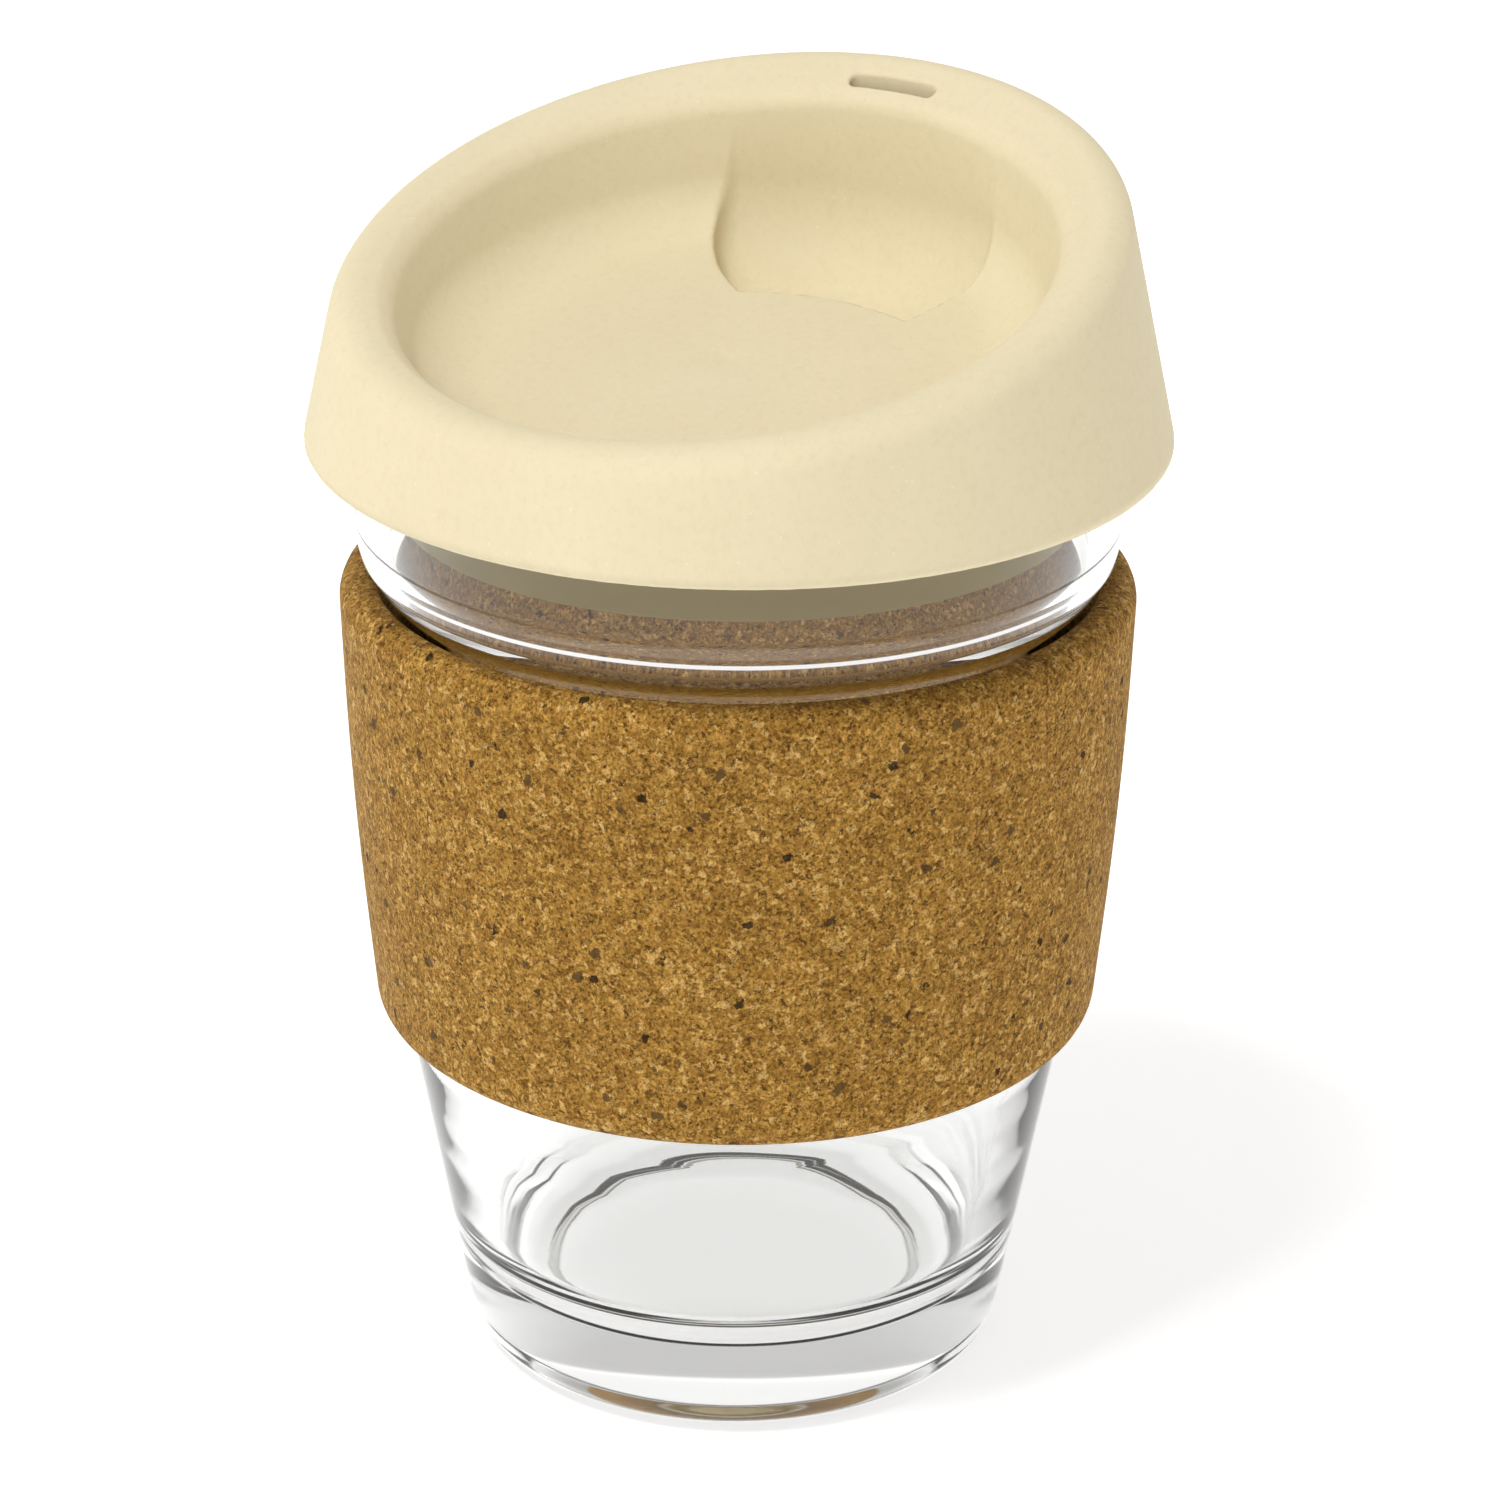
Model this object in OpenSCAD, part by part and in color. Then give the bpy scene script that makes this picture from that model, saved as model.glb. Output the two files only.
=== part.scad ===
// Glass travel cup with a slide-on cork band and a push-on silicone lid.
// Frame: the origin is the centre of the foot, +Z is up, and the sip slot is on the +X side.
// The whole cup is symmetric about the XZ plane.

/* [Glass tumbler] */
// Height of the drinking rim above the table
rim_z = 112.5; // [111:0.5:116]
// Outer radius of the drinking rim
rim_r = 42; // [41.5:0.1:42]
// Outer radius where the foot cone reaches the table
foot_r = 29.8; // [28:0.1:31]
// Height where the foot cone turns into the waist
waist_z = 38; // [34:0.5:39]
// Outer radius of the glass at that turn
waist_r = 36.8; // [36:0.1:37.5]
// Height of the shoulder under the neck ridge
neck_z = 92.6; // [92.4:0.1:93]
// Outer radius of the waist at that shoulder
neck_r = 39.6; // [39:0.1:40]
// Radial wall thickness at the waist
glass_wall = 3.4; // [2.8:0.1:4.5]
// Thickness of the solid base
base_h = 9.2; // [7:0.1:14]

/* [Cork band] */
// Height of the band's lower edge above the table
band_z = 40.2; // [40:0.2:44]
// Height of the band
band_h = 51.5; // [40:0.5:51.5]
// Outer radius at the lower edge
band_low_r = 40.2; // [39.8:0.1:42]
// Outer radius at the upper edge
band_top_r = 43.5; // [42.5:0.1:44.5]

/* [Silicone lid] */
// Height of the skirt's lower edge above the table
skirt_z = 106.3; // [104:0.1:108]
// Outer radius at the skirt's lower edge
skirt_r = 47; // [46:0.1:48]
// Inward lean of the skirt, degrees
skirt_lean = 12.2; // [10:0.1:14]
// Height of the slanted rim plane on the cup's axis
slant_z = 130.3; // [129:0.1:133]
// Slope of the rim plane, degrees
slant = 14; // [13:0.1:17]
// Inward slope of the rim band, measured from the rim plane, degrees
rim_band_slope = 17; // [10:0.5:22]
// Radius of the dish at the rim's inner edge, in the rim plane
dish_r = 35.9; // [34:0.1:37]
// Height of the dish floor on the cup's axis
dish_z = 116.5; // [116:0.1:118]
// Slope of the dish floor, degrees
dish_slope = 10.4; // [8:0.1:13]
// Thickness of the silicone under the dish
dish_wall = 3.5; // [2.5:0.1:4]
// Lower edge of the ring that plugs into the glass
plug_z = 99.3; // [97:0.1:102]
// Half width of the nose pocket
pocket_half_w = 17; // [14:0.5:18]
// Length of the sip slot
slot_len = 11; // [8:0.2:14]
// Width of the sip slot
slot_w = 2.1; // [2:0.1:2.5]

/* [Hidden] */
$fn = 144;
gap = 0.05;                 // clearance between pieces that come apart
glass_z = 0;
wall_low = 4.3;             // wall of the foot cone, thicker than the waist
punt_h = 1.4;               // hollow under the foot
foot_ring_w = 4.6;          // width of the ring that stands on the table
ridge_z = 97;               // widest line of the neck ridge
ridge_r = rim_r - 0.4;
neck_in_z = 88;             // where the inner wall starts to open towards the rim
rim_wall = 3.2;
foot_slope = (waist_r - foot_r) / waist_z;
waist_slope = (neck_r - waist_r) / (neck_z - waist_z);
band_top_z = band_z + band_h;
lid_top_z = 145;            // above the highest point of the lid
rim_centre_x = -2.5;        // the rim plane meets the leaning skirt off centre
rim_edge_r = 43;
dish_centre_x = -4;
dish_floor_r = 31.5;        // dish radius about one floor depth under the rim plane
plug_in_r = 33;
plug_low_r = 36.2;
plug_top_r = rim_r - rim_wall - 0.4;
groove_top_z = rim_z + gap;
groove_r = rim_r + 0.15;
skirt_wall = 2.9;
pocket_back_r = 31.3;       // the pocket's back wall runs round the cup's axis
pocket_front_x = 11.5;
pocket_corner_r = 9;
pocket_scoop_r = 11.2;      // radius of the scooped pocket floor, seen from the side
pocket_scoop = [20, 125.7]; // its centre, x and z
pocket_sill_r = 31;         // the front edge of the pocket bows towards the slot
pocket_sill_x = 13.9;
pocket_wall = 2.5;
slot_r = 34.4;              // the slot is curved round the cup's axis
big = 200;

// Outer radius of the glass waist at height z
function waist_radius(z) = waist_r + waist_slope * (z - waist_z);

// Points of an arc of radius r that rounds corner b of the path a, b, c
function round_corner(a, b, c, r, steps = 6) =
    let (u = (a - b) / norm(a - b), v = (c - b) / norm(c - b))
    let (half = acos(u * v) / 2, m = (u + v) / norm(u + v))
    let (centre = b + m * r / sin(half))
    let (p = b + u * r / tan(half) - centre, q = b + v * r / tan(half) - centre)
    [for (i = [0:steps]) let (w = p * (steps - i) + q * i) centre + w / norm(w) * r];

// Closed outline from corners [x, y, rounding radius]
function outline(corners) =
    let (n = len(corners), at = function (i) [corners[(i + n) % n].x, corners[(i + n) % n].y])
    [for (i = [0:n - 1]) each corners[i][2] == 0 ? [at(i)]
        : round_corner(at(i - 1), at(i), at(i + 1), corners[i][2])];

module glass_tumbler() {
    foot_in_r = foot_r - foot_ring_w - 1.5;
    color([0.90, 0.95, 0.95, 0.4])
    rotate_extrude() polygon(outline([
        [0, punt_h, 0],
        [foot_in_r - 2, punt_h, 1.5],
        [foot_in_r, glass_z, 0.6],
        [foot_r, glass_z, 3.8],
        [waist_r, waist_z, 24],
        [neck_r, neck_z, 1.6],
        [ridge_r - 0.5, ridge_z - 2.4, 1.4],
        [ridge_r, ridge_z, 1],
        [rim_r, rim_z, 1.5],
        [rim_r - rim_wall, rim_z, 1.5],
        [neck_r - glass_wall + 2.1, ridge_z, 12],
        [neck_r - glass_wall, neck_in_z, 12],
        [waist_r - glass_wall, waist_z, 30],
        [foot_r + foot_slope * base_h - wall_low, base_h, 9.5],
        [0, base_h, 0],
    ]));
}

module cork_band() {
    color([0.73, 0.55, 0.31])
    rotate_extrude() polygon(outline([
        [waist_radius(band_z) + gap, band_z, 0.6],
        [band_low_r, band_z, 3],
        [band_top_r, band_top_z, 2.8],
        [waist_radius(band_top_z) + gap, band_top_z, 0.8],
    ]));
}

// Everything above the slanted rim, with the rounded outer shoulder
module above_rim() {
    slope = tan(rim_band_slope);
    translate([rim_centre_x, 0, slant_z + rim_centre_x * tan(slant)]) rotate([0, -slant, 0])
    rotate_extrude() polygon(outline([
        [0, -2.5, 0],
        [rim_edge_r - 2.5 / slope, -2.5, 0],
        [rim_edge_r - 1.2, -1.2 * slope, 3],
        [rim_edge_r + 6, -8, 0],
        [rim_edge_r + 30, 0, 0],
        [0, 60, 0],
    ]));
}

// Half space above (side = 1) or below (side = -1) the dish floor, shifted down by drop
module dish_half_space(side, drop = 0) {
    translate([0, 0, dish_z - drop]) rotate([0, -dish_slope, 0])
    translate([0, 0, side * big / 2]) cube(big, center = true);
}

module dish() {
    intersection() {
        translate([dish_centre_x, 0, slant_z + dish_centre_x * tan(slant)]) rotate([0, -slant, 0])
        rotate_extrude() polygon([
            [0, 20], [dish_r, 20], [dish_r, -2.2], [dish_floor_r, -14], [dish_floor_r - 5, -28], [0, -28],
        ]);
        dish_half_space(1);
    }
}

// Scooped recess for the nose; grow widens it, for the silicone that wraps it underneath
module nose_pocket(grow = 0) {
    half_w = pocket_half_w + grow;
    intersection() {
        cylinder(r = pocket_back_r + grow, h = big);
        linear_extrude(big) difference() {
            union() {
                translate([pocket_front_x - grow + pocket_corner_r, -half_w]) square([40, 2 * half_w]);
                translate([pocket_front_x - grow, pocket_corner_r - half_w])
                    square([40, 2 * (half_w - pocket_corner_r)]);
                for (side = [-1, 1])
                    translate([pocket_front_x - grow + pocket_corner_r, side * (half_w - pocket_corner_r)])
                        circle(pocket_corner_r);
            }
            if (grow == 0) translate([pocket_sill_x - pocket_sill_r, 0]) circle(pocket_sill_r);
        }
        union() {
            translate([pocket_scoop.x, 0, pocket_scoop.y]) rotate([90, 0, 0])
                cylinder(r = pocket_scoop_r + grow, h = 60, center = true);
            translate([pocket_scoop.x - pocket_scoop_r - grow, -30, pocket_scoop.y]) cube([60, 60, 30]);
        }
    }
}

module sip_slot() {
    end_y = (slot_len - slot_w) / 2;
    end_x = sqrt(slot_r ^ 2 - end_y ^ 2);
    for (side = [-1, 1])
        translate([end_x, side * end_y, skirt_z]) cylinder(d = slot_w, h = 40);
    intersection() {
        translate([0, 0, skirt_z]) difference() {
            cylinder(r = slot_r + slot_w / 2, h = 40);
            translate([0, 0, -1]) cylinder(r = slot_r - slot_w / 2, h = 42);
        }
        translate([end_x - slot_w, -end_y, skirt_z - 1]) cube([slot_r, 2 * end_y, 42]);
    }
    // notch that opens the channel through the plug ring into the cup
    translate([plug_in_r - 4, -slot_len / 2, plug_z - 1]) cube([slot_r + slot_w / 2 - plug_in_r + 4, slot_len, 12]);
}

// Hollow under the dish, inside the plug ring
module underside() {
    difference() {
        intersection() {
            translate([0, 0, plug_z - 1]) cylinder(r = plug_in_r, h = 60);
            dish_half_space(-1, dish_wall);
        }
        nose_pocket(pocket_wall);
    }
}

module silicone_lid() {
    top_r = skirt_r - (lid_top_z - skirt_z) * tan(skirt_lean);
    color([0.91, 0.85, 0.68])
    difference() {
        rotate_extrude() polygon(outline([
            [0, plug_z, 0],
            [plug_low_r, plug_z, 0.8],
            [plug_top_r, skirt_z, 4],
            [plug_top_r, groove_top_z, 0.8],
            [groove_r, groove_top_z, 0.8],
            [skirt_r - skirt_wall, skirt_z, 0.8],
            [skirt_r, skirt_z, 1.2],
            [top_r, lid_top_z, 0],
            [0, lid_top_z, 0],
        ]));
        above_rim();
        dish();
        nose_pocket();
        sip_slot();
        underside();
    }
}

glass_tumbler();
cork_band();
silicone_lid();
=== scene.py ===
"""Looks of the glass travel cup: tumbler, cork band and silicone lid, in the CAD model's frame."""

import math

import bpy
import numpy as np
from mathutils import Matrix, Vector


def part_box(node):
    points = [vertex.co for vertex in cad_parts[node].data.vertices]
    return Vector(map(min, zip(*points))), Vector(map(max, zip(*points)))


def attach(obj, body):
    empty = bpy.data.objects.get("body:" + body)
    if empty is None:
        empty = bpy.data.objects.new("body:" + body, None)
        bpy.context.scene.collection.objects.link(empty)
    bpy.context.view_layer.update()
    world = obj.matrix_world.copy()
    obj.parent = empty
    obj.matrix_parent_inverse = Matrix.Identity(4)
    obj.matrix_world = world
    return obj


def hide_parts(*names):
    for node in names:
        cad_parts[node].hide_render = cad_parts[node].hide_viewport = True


MM = 0.001
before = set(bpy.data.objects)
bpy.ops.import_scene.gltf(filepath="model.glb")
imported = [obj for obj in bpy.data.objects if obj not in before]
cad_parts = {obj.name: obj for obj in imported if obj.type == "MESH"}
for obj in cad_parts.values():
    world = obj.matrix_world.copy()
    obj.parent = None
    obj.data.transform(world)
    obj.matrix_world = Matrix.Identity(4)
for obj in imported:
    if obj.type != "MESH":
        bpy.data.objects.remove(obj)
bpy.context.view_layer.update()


def box_mm(node):
    """Lowest and highest corners of a CAD node, in millimetres."""
    low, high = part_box(node)
    return np.array(low) / MM, np.array(high) / MM


# ---------------------------------------------------------------- meshes


def tan_deg(angle):
    return math.tan(math.radians(angle))


def cos_deg(angle):
    return math.cos(math.radians(angle))


def rounded_outline(corners, steps=10):
    """Points (x, y) and outward normals along a path whose corners (x, y, radius) are rounded.

    The solid lies on the left of the path. A corner with radius 0 is an end of the path."""
    points, normals = [], []
    count = len(corners)
    for index, (x, y, radius) in enumerate(corners):
        here = np.array([x, y], float)
        if radius == 0:
            other = corners[1] if index == 0 else corners[count - 2]
            along = np.array(other[:2], float) - here
            along *= (1 if index == 0 else -1) / np.linalg.norm(along)
            points.append(here)
            normals.append([along[1], -along[0]])
            continue
        before = np.array(corners[(index - 1) % count][:2], float) - here
        after = np.array(corners[(index + 1) % count][:2], float) - here
        before /= np.linalg.norm(before)
        after /= np.linalg.norm(after)
        half = math.acos(float(np.clip(before @ after, -1, 1))) / 2
        middle = (before + after) / np.linalg.norm(before + after)
        centre = here + middle * radius / math.sin(half)
        start = here + before * radius / math.tan(half) - centre
        end = here + after * radius / math.tan(half) - centre
        convex = -before[0] * after[1] + before[1] * after[0] > 0
        for t in np.linspace(0, 1, steps + 1):
            spoke = start * (1 - t) + end * t
            spoke /= np.linalg.norm(spoke)
            points.append(centre + spoke * radius)
            normals.append(spoke if convex else -spoke)
    return np.array(points), np.array(normals)


def subdivided(points, normals, longest, closed=False):
    """The path with its long straight stretches cut into steps."""
    out_points, out_normals = [], []
    for index in range(len(points) if closed else len(points) - 1):
        a, b = points[index], points[(index + 1) % len(points)]
        na, nb = normals[index], normals[(index + 1) % len(points)]
        pieces = max(1, math.ceil(np.linalg.norm(b - a) / longest))
        for k in range(pieces):
            out_points.append(a + (b - a) * k / pieces)
            mixed = na + (nb - na) * k / pieces
            out_normals.append(mixed / np.linalg.norm(mixed))
    if not closed:
        out_points.append(points[-1])
        out_normals.append(normals[-1])
    return np.array(out_points), np.array(out_normals)


def new_object(name, vertices, faces, normals):
    """A smooth mesh object from vertices in millimetres, with its exact surface normals if given."""
    mesh = bpy.data.meshes.new(name)
    mesh.from_pydata((np.asarray(vertices) * MM).tolist(), [], faces)
    mesh.update()
    mesh.shade_smooth()
    if normals is not None:
        mesh.normals_split_custom_set_from_vertices(np.asarray(normals).tolist())
    obj = bpy.data.objects.new(name, mesh)
    bpy.context.scene.collection.objects.link(obj)
    return obj


def lathe(name, points, normals, segments, closed, inner_waves=None):
    """Turns a path of (radius, height) points round the Z axis. A point on the axis becomes a pole.

    inner_waves(angles, height) moves what faces the axis along its normal, in millimetres."""
    angles = np.linspace(0, 2 * math.pi, segments, endpoint=False)
    vertices, vertex_normals, rings = [], [], []
    for (radius, height), (out, up) in zip(points, normals):
        ring_angles = angles if radius > 1e-6 else angles[:1]
        first = len(vertices)
        rings.append([first + k % len(ring_angles) for k in range(segments)])
        shift = inner_waves(ring_angles, height) if inner_waves and out < 0 else 0 * ring_angles
        wavy_radius, wavy_height = radius + out * shift, height + up * shift
        vertices += zip(wavy_radius * np.cos(ring_angles), wavy_radius * np.sin(ring_angles), wavy_height)
        vertex_normals += [(out * math.cos(a), out * math.sin(a), up) for a in ring_angles]
    faces = []
    for low, high in zip(rings, rings[1:] + rings[:1] if closed else rings[1:]):
        for k in range(segments):
            following = (k + 1) % segments
            quad = [low[k], low[following], high[following], high[k]]
            faces.append(list(dict.fromkeys(quad)))
    return new_object(name, list(vertices), faces, None if inner_waves else vertex_normals)


def surface_net(name, field, xs, ys, zs):
    """Mesh of the surface where field(x, y, z) is zero, negative inside, on a grid of planes xs, ys, zs."""
    axes = [np.asarray(a, float) for a in (xs, ys, zs)]
    grid = np.meshgrid(*axes, indexing="ij", sparse=True)
    values = field(*grid)
    inside = values < 0
    corners = [(i, j, k) for i in (0, 1) for j in (0, 1) for k in (0, 1)]
    shape = [n - 1 for n in inside.shape]
    nx, ny, nz = shape
    total = sum(inside[i : i + nx, j : j + ny, k : k + nz].astype(np.int8) for i, j, k in corners)
    cells = np.argwhere((total > 0) & (total < 8))
    number = np.full(shape, -1, np.int64)
    number[tuple(cells.T)] = np.arange(len(cells))

    # each cell's vertex starts at the mean of the crossings on its twelve edges
    crossing_sum = np.zeros((len(cells), 3))
    crossing_count = np.zeros(len(cells))
    for start in corners:
        for axis in range(3):
            if start[axis]:
                continue
            end = tuple(c + (n == axis) for n, c in enumerate(start))
            a = cells + start
            b = cells + end
            va = values[tuple(a.T)]
            vb = values[tuple(b.T)]
            crosses = (va < 0) != (vb < 0)
            t = np.where(crosses, va / np.where(crosses, va - vb, 1), 0)
            pa = np.stack([axes[n][a[:, n]] for n in range(3)], 1)
            pb = np.stack([axes[n][b[:, n]] for n in range(3)], 1)
            crossing_sum += np.where(crosses[:, None], pa + (pb - pa) * t[:, None], 0)
            crossing_count += crosses
    vertices = crossing_sum / crossing_count[:, None]

    def gradient(p, h=0.02):
        steps = np.eye(3) * h
        return np.stack([(field(*(p + s).T) - field(*(p - s).T)) / (2 * h) for s in steps], 1)

    # then it is pulled onto the surface itself
    for _ in range(4):
        slope = gradient(vertices)
        step = field(*vertices.T)[:, None] * slope / np.maximum((slope**2).sum(1), 0.05)[:, None]
        vertices -= np.clip(step, -0.25, 0.25)
    normals = gradient(vertices)
    normals /= np.maximum(np.linalg.norm(normals, axis=1), 1e-9)[:, None]

    quads = []
    for axis in range(3):
        near, far = [slice(None)] * 3, [slice(None)] * 3
        near[axis], far[axis] = slice(None, -1), slice(1, None)
        for flips, outward in ((inside[tuple(near)] & ~inside[tuple(far)], True),
                               (~inside[tuple(near)] & inside[tuple(far)], False)):
            at = np.argwhere(flips)
            u, v = [n for n in range(3) if n != axis]
            ring = []
            for du, dv in ((-1, -1), (0, -1), (0, 0), (-1, 0)):
                cell = at.copy()
                cell[:, u] += du
                cell[:, v] += dv
                ring.append(number[tuple(cell.T)])
            ring = np.stack(ring, 1)
            forward = outward != (axis == 1)
            quads.append(ring if forward else ring[:, ::-1])
    return new_object(name, vertices, np.concatenate(quads).tolist(), normals)


# ---------------------------------------------------------------- tumbler


RIM_FACET = 0.04  # what the CAD rim's facets take off its radius
WAIST_Z = 38.0  # where the foot cone turns into the waist
NECK_IN_Z = 88.0  # where the inner wall starts to open towards the rim
WAVES = ((0.006, 4.3, 3, 0.4), (0.009, 6.7, 2, 1.9), (0.014, 11.0, 5, 3.1))  # size, step, turns, start


def glass_waves(angles, height):
    """How far the inner wall of the pressed glass stands proud, fading out at floor and neck."""
    above_floor = np.clip((height - 11.0) / 6.0, 0, 1)
    below_neck = np.clip((NECK_IN_Z - height) / 8.0, 0, 1)
    waves = 0 * angles
    for size, step, turns, start in WAVES:
        bend = 0.8 * np.sin(turns * angles + start)
        waves = waves + size * np.sin(2 * math.pi * height / step + bend + start)
    return above_floor * below_neck * waves


def make_tumbler():
    high = box_mm("glass_tumbler")[1]
    rim_r, rim_z = high[0] + RIM_FACET, high[2]
    foot_r, waist_r, neck_r, ridge_r = rim_r - 12.2, rim_r - 5.2, rim_r - 2.4, rim_r - 0.4
    waist_z, neck_in_z, neck_z, ridge_z = WAIST_Z, NECK_IN_Z, 92.6, 97.0
    wall, rim_wall, foot_wall, foot_ring = 3.4, 3.2, 4.3, 6.1
    base_h, punt_h = 9.2, 1.4
    foot_in_r = foot_r - foot_ring
    base_in_r = foot_r + (waist_r - foot_r) * base_h / waist_z - foot_wall
    corners = [
        (0, punt_h, 0),
        (foot_in_r - 2.4, punt_h, 1.5),
        (foot_in_r, 0, 0.6),
        (foot_r, 0, 3.8),
        (waist_r, waist_z, 24),
        (neck_r, neck_z, 3.0),
        (ridge_r - 0.5, ridge_z - 2.4, 1.4),
        (ridge_r, ridge_z, 1.0),
        (rim_r, rim_z, 1.5),
        (rim_r - rim_wall, rim_z, 1.5),
        (neck_r - wall + 2.1, ridge_z, 12),
        (neck_r - wall, neck_in_z, 12),
        (waist_r - wall, waist_z, 30),
        (base_in_r, base_h, 9.5),
        (0, base_h, 0),
    ]
    points, normals = subdivided(*rounded_outline(corners), longest=1.4)
    tumbler = lathe("tumbler", points, normals, segments=240, closed=False, inner_waves=glass_waves)
    # height and radius of the painted highlight line round the ridge
    highlight_line_z, highlight_line_inner_r = ridge_z - 0.9, ridge_r - 1.0
    tumbler.data.materials.append(glass_material(highlight_line_z, highlight_line_inner_r))
    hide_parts("glass_tumbler")
    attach(tumbler, "glass")


# ---------------------------------------------------------------- cork band


def make_band():
    low, high = box_mm("cork_band")
    bottom_z, top_z = low[2], high[2]
    waist_slope = 0.0513
    waist_fit_r = box_mm("glass_tumbler")[1][0] - 5.11  # just clear of the glass at its waist
    inner_low = waist_fit_r + waist_slope * (bottom_z - WAIST_Z)
    inner_high = inner_low + waist_slope * (top_z - bottom_z)
    top_r = high[0] + 0.185  # the rounding and the CAD's facets hide this much of the corner
    middle_r, bottom_r = top_r - 0.95, top_r - 3.45
    corners = [
        (inner_low, bottom_z, 0.6),
        (bottom_r, bottom_z, 3.0),
        (middle_r, 0.5 * (bottom_z + top_z), 500.0),
        (top_r, top_z, 2.8),
        (inner_high, top_z, 0.8),
    ]
    outline = subdivided(*rounded_outline(corners, steps=8), longest=1.6, closed=True)
    band = lathe("cork_sleeve", *outline, segments=320, closed=True)
    band.data.materials.append(cork_material())
    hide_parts("cork_band")
    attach(band, "band")
    return band


# ---------------------------------------------------------------- lid


def both(a, b, radius):
    """Field of what lies in both a and b, its edge rounded."""
    reach = np.maximum(a + radius, 0) ** 2 + np.maximum(b + radius, 0) ** 2
    return np.minimum(np.maximum(a, b), -radius) + np.sqrt(reach)


def without(a, b, radius):
    """Field of a with b cut out, the cut's edge rounded."""
    return both(a, -b, radius)


class Lid:
    """The lid's shape as a field, in millimetres: negative in the silicone."""

    skirt_lean, slant, band_slope, dish_slope = 12.2, 14.0, 17.0, 10.4  # degrees
    skirt_wall, dish_wall, pocket_wall = 2.9, 3.5, 2.6
    rim_centre_x, rim_edge_r = -2.5, 43.0
    dish_centre_x, dish_r, dish_lean = -4.0, 35.9, 0.37
    plug_in_r, plug_low_r = 33.0, 36.2
    pocket_back_r, pocket_floor_z = 31.3, 112.9
    sill_r, sill_x, sill_y = 29.8, 13.9, -3.8
    lip_inset = 0.9  # the rounded lip starts this far outside the pocket's plan
    slot_r, slot_half_len, slot_half_w = 34.3, 5.3, 0.85
    notch_x, notch_half_x, notch_h = 32.2, 3.3, 11.0  # opens the slot's channel through the plug ring

    def __init__(self):
        low, high = box_mm("silicone_lid")
        glass_high = box_mm("glass_tumbler")[1]
        rim_r = glass_high[0] + RIM_FACET
        self.plug_z = low[2]
        self.skirt_z = self.plug_z + 7.0
        self.skirt_r = high[0] + 0.287  # the rounded lower edge hides this much of the corner
        self.groove_z = glass_high[2] + 0.05
        self.groove_r = rim_r + 0.15
        self.plug_top_r = rim_r - 3.6
        self.slant_z = self.skirt_z + 24.0  # the rim plane on the cup's axis
        self.dish_z = self.skirt_z + 10.2  # the dish floor on the cup's axis

    def field(self, x, y, z):
        radius = np.hypot(x, y)
        body = self.outer(radius, z)
        body = without(body, self.groove(radius, z), 0.7)
        body = np.minimum(body, self.plug(radius, z))
        body = both(body, self.rim_top(x, y, z), 3.2)
        body = without(body, self.dish(x, y, z), 1.4)
        pocket = self.pocket(x, y, z)
        hollow = without(self.hollow(x, radius, z), pocket - self.pocket_wall, 2.0)
        body = without(body, hollow, 1.0)
        body = without(body, pocket, 0.5)
        return without(body, self.slot(x, y, z), 0.35)

    def outer(self, radius, z):
        """Leaning skirt, closed by its lower edge."""
        wall = self.skirt_r - (z - self.skirt_z) * tan_deg(self.skirt_lean)
        return both((radius - wall) * cos_deg(self.skirt_lean), self.skirt_z - z, 1.3)

    def groove(self, radius, z):
        """Ring-shaped groove that takes the glass rim, wider at its mouth."""
        depth = (self.groove_z - z) / (self.groove_z - self.skirt_z)
        mouth_r = self.skirt_r - self.skirt_wall
        outer = self.groove_r + (mouth_r - self.groove_r) * np.maximum(depth, 0)
        return np.maximum(both(radius - outer, z - self.groove_z, 0.8), self.plug_top_r - radius)

    def plug(self, radius, z):
        """Disc that reaches into the glass; the hollow leaves a ring of it."""
        share = np.clip((z - self.plug_z) / (self.skirt_z - self.plug_z), 0, 1)
        edge = self.plug_low_r + (self.plug_top_r - self.plug_low_r) * share
        return np.maximum(both(radius - edge, self.plug_z - z, 0.9), z - self.groove_z - 1)

    def rim_top(self, x, y, z):
        """Under the slanted rim, whose band slopes inwards from the shoulder."""
        above = (z - self.slant_z - x * tan_deg(self.slant)) * cos_deg(self.slant)
        across = np.hypot((x - self.rim_centre_x) / cos_deg(self.slant), y)
        return (above + (self.rim_edge_r - across) * tan_deg(self.band_slope)) * cos_deg(self.band_slope)

    def dish(self, x, y, z):
        """Round dish with a leaning wall and a gently sloping floor."""
        below = (self.slant_z + x * tan_deg(self.slant) - z) * cos_deg(self.slant)
        across = np.hypot((x - self.dish_centre_x) / cos_deg(self.slant) - below * tan_deg(self.slant), y)
        wall = self.dish_r - np.maximum(below - 2.2, 0) * self.dish_lean
        floor = (self.dish_z + x * tan_deg(self.dish_slope) - z) * cos_deg(self.dish_slope)
        return both((across - wall) * 0.94, floor, 5.0)

    def pocket(self, x, y, z):
        """Bowl in front of the slot. Its front lip bows towards the slot and sits off centre."""
        front = self.sill_r - self.lip_inset - np.hypot(x - self.sill_x + self.sill_r, y - self.sill_y)
        # slanting edges between the lip and the two sides
        left_corner = -0.774 * (x - 12.1) + 0.633 * (y - 6.4) - self.lip_inset
        right_corner = -0.46 * (x - 12.0) - 0.888 * (y + 13.9) - self.lip_inset
        sides = both(np.maximum(y - 19.6, -y - 18.7), left_corner, 11.0)
        plan = np.maximum(front, both(sides, right_corner, 7.0))
        steep = self.bowl(plan, z, 7.5)
        gentle = self.bowl(np.hypot(x, y) - self.pocket_back_r, z, 13.0)
        return both(steep, gentle, 3.0)

    def bowl(self, plan, z, radius):
        """Upright walls on the plan's outline that curve into the pocket's floor."""
        below = np.minimum(z - self.pocket_floor_z - radius, 0)
        return np.hypot(np.maximum(plan + radius, 0), below) - radius

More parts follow.
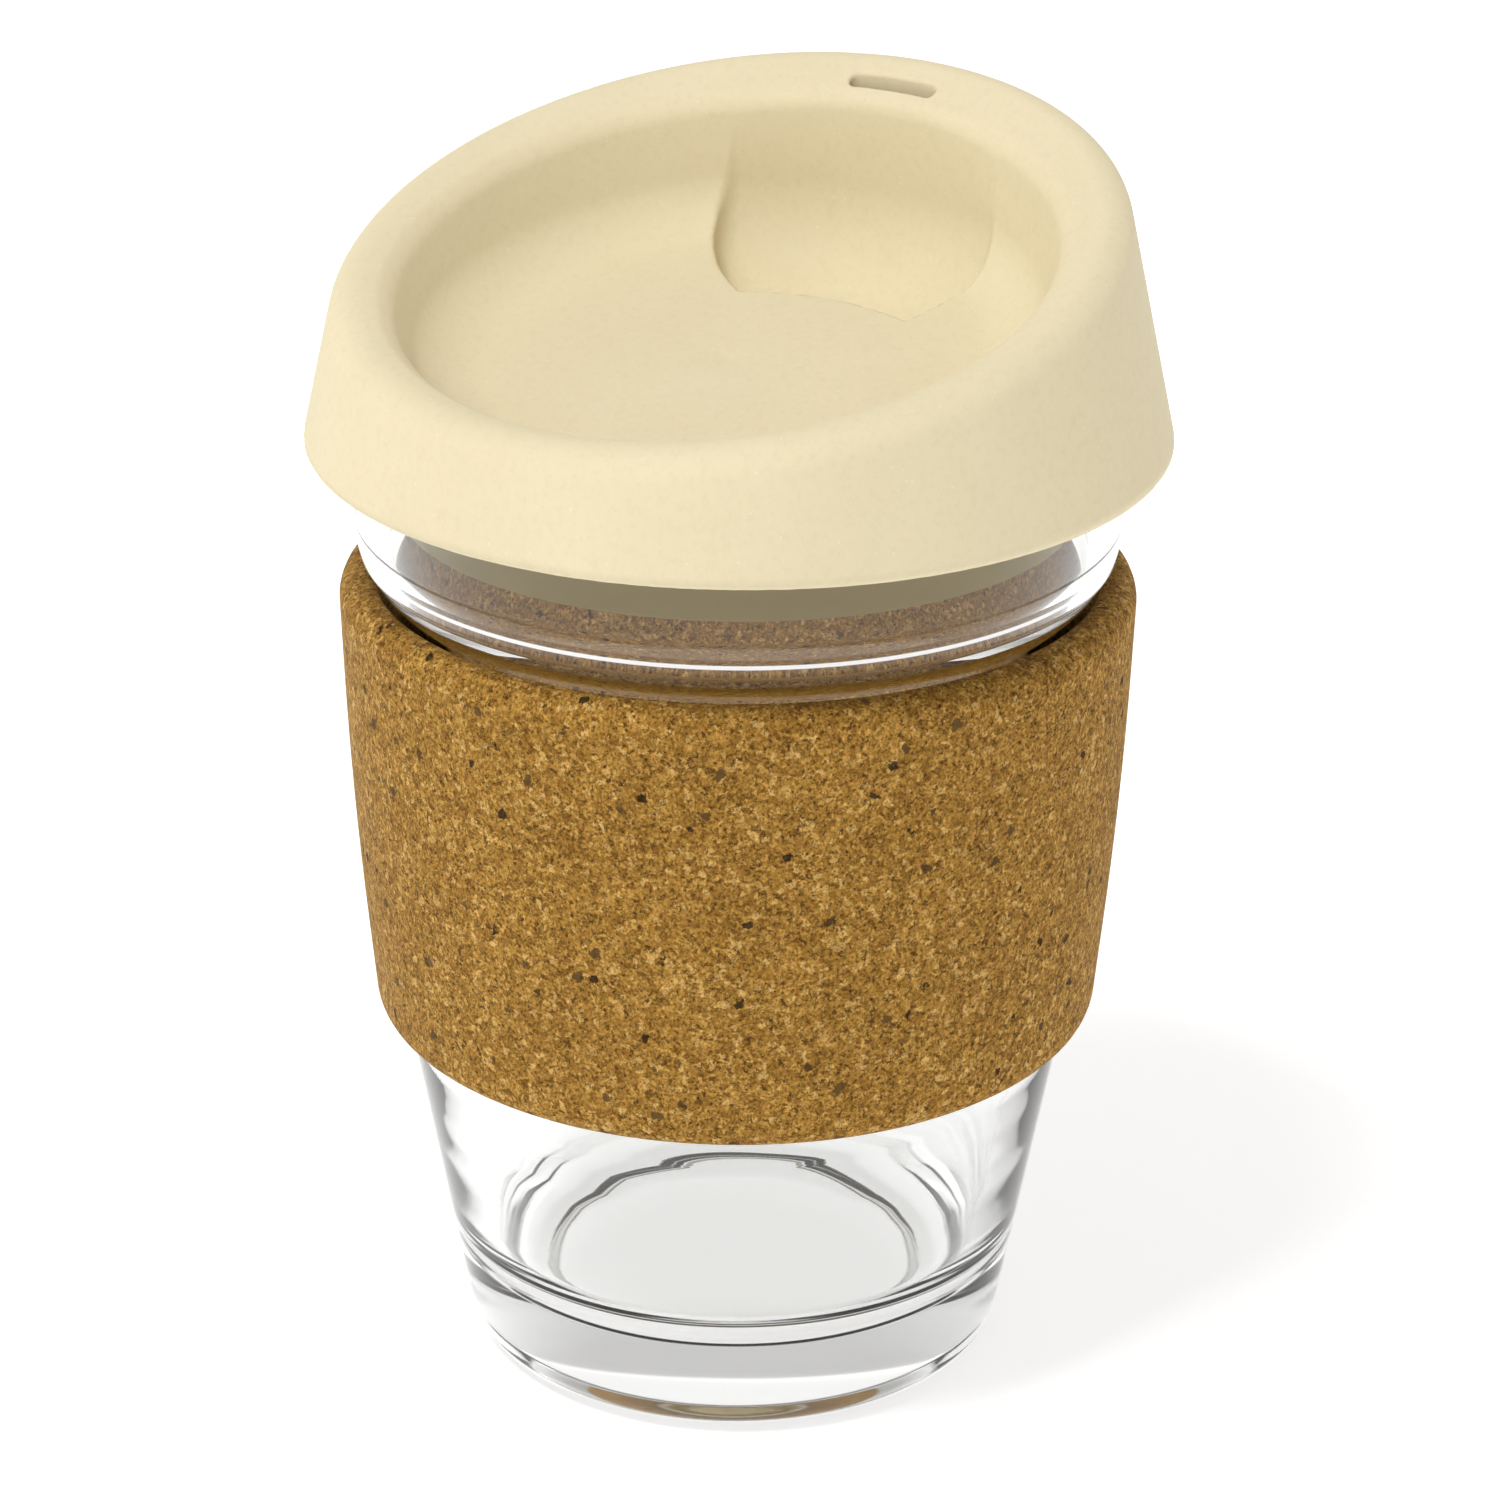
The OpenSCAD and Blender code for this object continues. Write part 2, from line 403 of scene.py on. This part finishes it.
    def slot(self, x, y, z):
        """Upright channel curved round the axis, from the sip slot down into the cup."""
        end_y = self.slot_half_len - self.slot_half_w
        end_x = math.sqrt(self.slot_r**2 - end_y**2)
        ring = abs(np.hypot(x, y) - self.slot_r)
        beyond = np.hypot(x - end_x, abs(y) - end_y)
        channel = np.where(abs(y) < end_y, ring, beyond) + 100.0 * (x < 0) - self.slot_half_w
        across = np.maximum(abs(x - self.notch_x) - self.notch_half_x, abs(y) - self.slot_half_len)
        notch = np.maximum(across, z - self.plug_z - self.notch_h)
        return np.minimum(channel + 0 * z, notch)

    def hollow(self, x, radius, z):
        """Hollow under the dish, inside the plug ring."""
        under_floor = self.dish_z - self.dish_wall + x * tan_deg(self.dish_slope)
        ceiling = (z - under_floor) * cos_deg(self.dish_slope)
        return both(radius - self.plug_in_r, ceiling, 2.0)


def planes(start, *stretches):
    """Grid planes from start on, through stretches (end, step)."""
    parts = []
    for end, step in stretches:
        parts.append(np.arange(start, end, step))
        start = end
    return np.concatenate(parts)


def make_lid():
    lid_shape = Lid()
    reach = lid_shape.skirt_r + 1.5
    top = box_mm("silicone_lid")[1][2] + 2
    # the planes are closer together round the pocket, and closest at the sip slot
    lid = surface_net(
        "lid",
        lid_shape.field,
        planes(-reach, (10.0, 0.78), (31.5, 0.5), (37.5, 0.3), (reach, 0.78)),
        planes(-reach, (-20.0, 0.78), (-7.0, 0.58), (7.0, 0.4), (20.0, 0.58), (reach, 0.78)),
        planes(lid_shape.plug_z - 1.2, (112.0, 0.78), (135.0, 0.62), (top, 0.36)),
    )
    # top and radius of the plug ring that gets painted shade
    painted_shade_top_z, painted_shade_r = lid_shape.skirt_z + 3, lid_shape.plug_top_r + 0.5
    lid.data.materials.append(silicone_material(painted_shade_top_z, painted_shade_r))
    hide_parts("silicone_lid")
    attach(lid, "lid")
    return lid


# ---------------------------------------------------------------- materials


class Nodes:
    """The node tree of a new material or world, with short calls to add and wire its nodes."""

    def __init__(self, owner, output="OutputMaterial"):
        self.owner = owner
        owner.use_nodes = True
        self.tree = owner.node_tree
        self.tree.nodes.clear()
        self.output = self.add(output)

    def add(self, kind, settings=None, **inputs):
        """A new node. An underscore in an input's name stands for a space."""
        node = self.tree.nodes.new("ShaderNode" + kind)
        for name, value in (settings or {}).items():
            setattr(node, name, value)
        for name, value in inputs.items():
            self.set(node, name.replace("_", " "), value)
        return node

    def set(self, node, name, value):
        """Gives a node's input, by name or number, a value or a link."""
        socket = node.inputs[int(name)] if name.isdigit() else node.inputs[name]
        if isinstance(value, bpy.types.NodeSocket):
            self.tree.links.new(value, socket)
        else:
            socket.default_value = value

    def math(self, operation, a, b=0.0):
        node = self.add("Math", {"operation": operation})
        self.set(node, "0", a)
        self.set(node, "1", b)
        return node.outputs[0]

    def ramp(self, factor, stops):
        """Colour that runs through stops (position, colour) as factor grows."""
        node = self.add("ValToRGB", Fac=factor)
        elements = node.color_ramp.elements
        while len(elements) < len(stops):
            elements.new(0.5)
        for element, (position, colour) in zip(elements, stops):
            element.position = position
            element.color = (*colour, 1)
        return node.outputs["Color"]

    def mix(self, factor, a, b, blend="MIX"):
        node = self.add("Mix", {"data_type": "RGBA", "blend_type": blend})
        for name, value in (("0", factor), ("6", a), ("7", b)):
            self.set(node, name, value if not isinstance(value, tuple) else (*value, 1))
        return node.outputs[2]

    def finish(self, shader):
        self.tree.links.new(shader, self.output.inputs["Surface"])
        return self.owner


def new_material(name):
    return Nodes(bpy.data.materials.new(name))


def grey(value):
    return (value, value, value)


def above(nodes, value, start, full):
    """0 where value is under start, 1 where it is over full, smooth in between."""
    node = nodes.add("MapRange", {"interpolation_type": "SMOOTHSTEP"}, Value=value)
    nodes.set(node, "From Min", start)
    nodes.set(node, "From Max", full)
    return node.outputs[0]


def axis_distance(nodes, place):
    """Distance from the cup's axis of a point whose separate coordinates are place."""
    flat = nodes.add("CombineXYZ", X=place[0], Y=place[1])
    return nodes.add("VectorMath", {"operation": "LENGTH"}, Vector=flat.outputs[0]).outputs["Value"]


def glass_material(highlight_line_z, highlight_line_min_r):
    """Clear glass, a trace rougher in the thick base.

    A painted highlight is a fine white line round the ridge at the given height, outside the given radius,
    both in millimetres."""
    n = new_material("clear_glass")
    coordinates = n.add("TexCoord").outputs["Object"]
    place = n.add("SeparateXYZ", Vector=coordinates).outputs
    waves = n.add("TexNoise", Vector=coordinates, Scale=55.0, Detail=1.0, Roughness=0.4)
    bump = n.add("Bump", Strength=0.05, Distance=0.0006, Height=waves.outputs[0])
    shader = n.add(
        "BsdfPrincipled",
        Base_Color=(0.99, 0.997, 0.994, 1),
        Roughness=n.math("MULTIPLY", above(n, place[2], 36 * MM, 20 * MM), 0.05),
        IOR=1.5,
        Normal=bump.outputs[0],
    )
    n.set(shader, "Transmission Weight", 1.0)
    n.set(shader, "Specular Tint", (0.6, 0.6, 0.6, 1))
    # painted highlight: a fine white line mixed into the glass round the ridge
    off_line = n.math("ABSOLUTE", n.math("SUBTRACT", place[2], highlight_line_z * MM))
    outside = n.math("GREATER_THAN", axis_distance(n, place), highlight_line_min_r * MM)
    on_painted_highlight = n.math("MULTIPLY", above(n, off_line, 0.30 * MM, 0.20 * MM), outside)
    white = n.add("BsdfPrincipled", Base_Color=(0.95, 0.95, 0.95, 1), Roughness=0.3)
    mixed = n.add("MixShader", Fac=n.math("MULTIPLY", on_painted_highlight, 0.9))
    n.set(mixed, "1", shader.outputs[0])
    n.set(mixed, "2", white.outputs[0])
    return n.finish(mixed.outputs[0])


def silicone_material(painted_shade_top_z, painted_shade_r):
    """Matte cream silicone with a fine grain and some dust.

    Painted shade darkens the ring that presses on the glass, below the given height and inside the given
    radius."""
    n = new_material("cream_silicone")
    coordinates = n.add("TexCoord").outputs["Object"]
    clouds = n.add("TexNoise", Vector=coordinates, Scale=45.0, Detail=4.0, Roughness=0.6)
    grain = n.add("TexNoise", Vector=coordinates, Scale=1000.0, Detail=4.0, Roughness=0.75)
    dust = n.add("TexVoronoi", {"feature": "F1"}, Vector=coordinates, Scale=800.0)
    lint = n.add("SeparateColor", Color=dust.outputs["Color"])
    speck = n.ramp(dust.outputs["Distance"], [(0.05, grey(1.0)), (0.15, grey(0.0))])
    speck = n.math("MULTIPLY", speck, n.math("GREATER_THAN", lint.outputs[0], 0.55))
    base = n.ramp(clouds.outputs[0], [(0.3, (0.690, 0.602, 0.400)), (0.7, (0.720, 0.630, 0.425))])
    grained = n.mix(above(n, grain.outputs[0], 0.45, 0.7), base, n.mix(0.16, base, (0.52, 0.44, 0.27)))
    colour = n.mix(n.math("MULTIPLY", speck, 0.22), grained, (0.93, 0.89, 0.76))
    place = n.add("SeparateXYZ", Vector=coordinates).outputs
    # painted shade: the plug ring under the skirt is darkened to a dark olive
    low = n.math("LESS_THAN", place[2], painted_shade_top_z * MM)
    in_painted_shade = n.math("MULTIPLY", low, n.math("LESS_THAN", axis_distance(n, place), painted_shade_r * MM))
    colour = n.mix(n.math("MULTIPLY", in_painted_shade, 0.9), colour, (0.28, 0.205, 0.060))
    relief = n.math("ADD", n.math("MULTIPLY", grain.outputs[0], 0.7), n.math("MULTIPLY", speck, 0.4))
    bump = n.add("Bump", Strength=0.22, Distance=0.00012, Height=relief)
    shader = n.add("BsdfPrincipled", Base_Color=colour, Roughness=0.68, IOR=1.41, Normal=bump.outputs[0])
    n.set(shader, "Specular IOR Level", 0.3)
    return n.finish(shader.outputs[0])


def cork_granules(n, place, scale):
    """Random tone of each cork granule, its own size being about 1 / scale metres."""
    cells = n.add("TexVoronoi", {"feature": "F1"}, Vector=place, Scale=scale)
    return n.add("SeparateColor", Color=cells.outputs["Color"]).outputs, cells.outputs["Distance"]


def cork_material():
    """Pressed cork: small warped granules, light flecks, dark chips and specks, and a fine dry grain."""
    n = new_material("agglomerated_cork")
    coordinates = n.add("TexCoord").outputs["Object"]
    warp = n.add("TexNoise", Vector=coordinates, Scale=1100.0, Detail=3.0, Roughness=0.65)
    offset = n.add("VectorMath", {"operation": "SCALE"}, Vector=warp.outputs["Color"], Scale=0.0016)
    place = n.add("VectorMath", {"operation": "ADD"})
    n.set(place, "0", coordinates)
    n.set(place, "1", offset.outputs[0])
    place = place.outputs[0]

    tone = cork_granules(n, place, 2300.0)[0]
    flake = cork_granules(n, place, 1500.0)[0]
    colour = n.ramp(tone[0], [
        (0.0, (0.120, 0.050, 0.007)),
        (0.3, (0.255, 0.122, 0.019)),
        (0.7, (0.370, 0.195, 0.036)),
        (1.0, (0.540, 0.320, 0.085)),
    ])
    colour = n.mix(0.4, colour, n.ramp(flake[1], [(0.0, (0.170, 0.078, 0.012)), (1.0, (0.46, 0.255, 0.058))]))
    light_fleck = n.math("GREATER_THAN", flake[2], 0.90)
    colour = n.mix(n.math("MULTIPLY", light_fleck, 0.55), colour, (0.64, 0.41, 0.14))

    fine = n.add("TexNoise", Vector=coordinates, Scale=2900.0, Detail=3.0, Roughness=0.75).outputs[0]
    pits = n.add("TexNoise", Vector=coordinates, Scale=1500.0, Detail=4.0, Roughness=0.7).outputs[0]
    grain = n.ramp(fine, [(0.32, grey(0.25)), (0.48, grey(0.95)), (0.68, grey(1.5))])
    colour = n.mix(1.0, colour, grain, "MULTIPLY")
    speck = above(n, pits, 0.595, 0.62)
    colour = n.mix(n.math("MULTIPLY", speck, 0.8), colour, (0.060, 0.024, 0.005))

    chip_tone, chip_distance = cork_granules(n, place, 640.0)
    chip_size = n.math("ADD", chip_distance, n.math("MULTIPLY", pits, 0.5))
    chip = n.math("MULTIPLY", n.math("GREATER_THAN", chip_tone[2], 0.925), above(n, chip_size, 0.66, 0.58))
    chip_colour = n.ramp(chip_tone[0], [(0.3, (0.014, 0.008, 0.004)), (0.9, (0.105, 0.060, 0.020))])
    colour = n.mix(n.math("MULTIPLY", chip, 0.9), colour, chip_colour)

    broad = n.add("TexNoise", Vector=coordinates, Scale=110.0, Detail=3.0, Roughness=0.55).outputs[0]
    colour = n.mix(0.5, colour, n.ramp(broad, [(0.35, (0.86, 0.83, 0.78)), (0.65, grey(1.08))]), "MULTIPLY")

    relief = n.math("ADD", n.math("MULTIPLY", fine, 0.7), n.math("MULTIPLY", tone[1], 0.5))
    relief = n.math("SUBTRACT", relief, n.math("MULTIPLY", n.math("MAXIMUM", speck, chip), 0.8))
    bump = n.add("Bump", Strength=0.7, Distance=0.0002, Height=relief)
    shader = n.add("BsdfPrincipled", Base_Color=colour, Roughness=0.85, Normal=bump.outputs[0])
    n.set(shader, "Specular IOR Level", 0.08)
    n.set(shader, "Sheen Weight", 0.12)
    n.set(shader, "Sheen Roughness", 0.35)
    n.set(shader, "Sheen Tint", (1.0, 0.76, 0.45, 1))
    return n.finish(shader.outputs[0])


def floor_material():
    """White sweep of a studio. It glows a little, so that it stays white as seen through the glass."""
    n = new_material("pale_floor")
    paper = n.add("BsdfDiffuse", Color=(0.76, 0.76, 0.76, 1))
    glow = n.add("Emission", Color=(1, 1, 1, 1), Strength=0.6)
    both_shaders = n.add("AddShader")
    n.set(both_shaders, "0", paper.outputs[0])
    n.set(both_shaders, "1", glow.outputs[0])
    return n.finish(both_shaders.outputs[0])


# ---------------------------------------------------------------- camera, floor and light


BEARING = 60.5  # degrees from the -Y axis to the camera, round the cup


def seen_from_camera(right, away, up):
    """A place given as seen by the camera: metres to its right, away from it, and up."""
    return Matrix.Rotation(-math.radians(BEARING), 4, "Z") @ Vector((right, away, up))


def make_camera():
    """Above the low side of the lid, looking down at the cup; the sip slot is at the back right."""
    distance, height = 0.509, 0.2865
    down, yaw, roll = 23.09, 0.16, 0.44
    camera = bpy.data.cameras.new("camera")
    camera.lens = 120
    camera.sensor_width = 36
    obj = bpy.data.objects.new("camera", camera)
    bpy.context.scene.collection.objects.link(obj)
    aim = (
        Matrix.Rotation(-math.radians(BEARING + yaw), 4, "Z")
        @ Matrix.Rotation(math.radians(90 - down), 4, "X")
        @ Matrix.Rotation(math.radians(roll), 4, "Z")
    )
    obj.matrix_world = Matrix.Translation(seen_from_camera(0, -distance, height)) @ aim
    bpy.context.scene.camera = obj


def make_floor():
    size = 40.0
    corners = [(-size, -size, 0), (size, -size, 0), (size, size, 0), (-size, size, 0)]
    mesh = bpy.data.meshes.new("floor")
    mesh.from_pydata(corners, [], [(0, 1, 2, 3)])
    floor = bpy.data.objects.new("floor", mesh)
    floor.location.z = -0.0001
    bpy.context.scene.collection.objects.link(floor)
    mesh.materials.append(floor_material())


def make_world():
    """A white studio dome, brighter low down to the sides and behind the cup, and dimmer overhead."""
    n = Nodes(bpy.data.worlds.new("studio"), "OutputWorld")
    direction = n.add("TexCoord").outputs["Generated"]

    def towards(right, away, up, start, full, strength):
        """Extra light from one side, all of it where the cosine to that side is over full."""
        node = n.add("VectorMath", {"operation": "DOT_PRODUCT"})
        n.set(node, "0", direction)
        n.set(node, "1", seen_from_camera(right, away, up).normalized())
        return n.math("MULTIPLY", above(n, node.outputs["Value"], start, full), strength)

    split = n.add("SeparateXYZ", Vector=direction)
    low = above(n, split.outputs[2], 0.75, 0.15)
    high = above(n, split.outputs[2], 0.35, 0.85)
    light = n.math("ADD", towards(-1, -0.1, 0, 0.2, 0.9, 0.66), towards(1, -0.1, 0, 0.2, 0.9, 0.95))
    light = n.math("ADD", light, towards(0, 1, 0, 0.2, 1.0, 0.45))
    light = n.math("SUBTRACT", n.math("MULTIPLY", light, low), n.math("MULTIPLY", high, 0.18))
    light = n.math("ADD", light, 0.46)
    shader = n.add("Background", Color=(1.0, 0.995, 0.985, 1), Strength=light)
    bpy.context.scene.world = n.finish(shader.outputs[0])


def area_light(name, place, size, power):
    """A square soft box that looks at the cup."""
    light = bpy.data.lights.new(name, "AREA")
    light.size = size
    light.energy = power
    obj = bpy.data.objects.new(name, light)
    bpy.context.scene.collection.objects.link(obj)
    obj.location = place
    cup_middle = Vector((0, 0, 70 * MM))
    obj.rotation_euler = (cup_middle - place).to_track_quat("-Z", "Y").to_euler()


def make_lights(*lit_inside):
    """A soft box high up to the left, and a weak glow inside the cup that lights only these pieces."""
    area_light("key", seen_from_camera(-0.35, -0.34, 1.1), size=0.32, power=8.9)
    glow = bpy.data.lights.new("inside_glow", "POINT")
    glow.shadow_soft_size = 0.015
    glow.energy = 0.06
    obj = bpy.data.objects.new("inside_glow", glow)
    bpy.context.scene.collection.objects.link(obj)
    obj.location.z = 45 * MM
    obj.visible_camera = obj.visible_glossy = obj.visible_transmission = False
    lit = bpy.data.collections.new("lit_inside")
    for piece in lit_inside:
        lit.objects.link(piece)
    obj.light_linking.receiver_collection = lit
    obj.light_linking.blocker_collection = lit


bpy.context.scene.view_settings.view_transform = "Standard"
bpy.context.scene.cycles.max_bounces = 24
bpy.context.scene.cycles.transmission_bounces = 24
make_camera()
make_floor()
make_world()
make_tumbler()
make_lights(make_band(), make_lid())
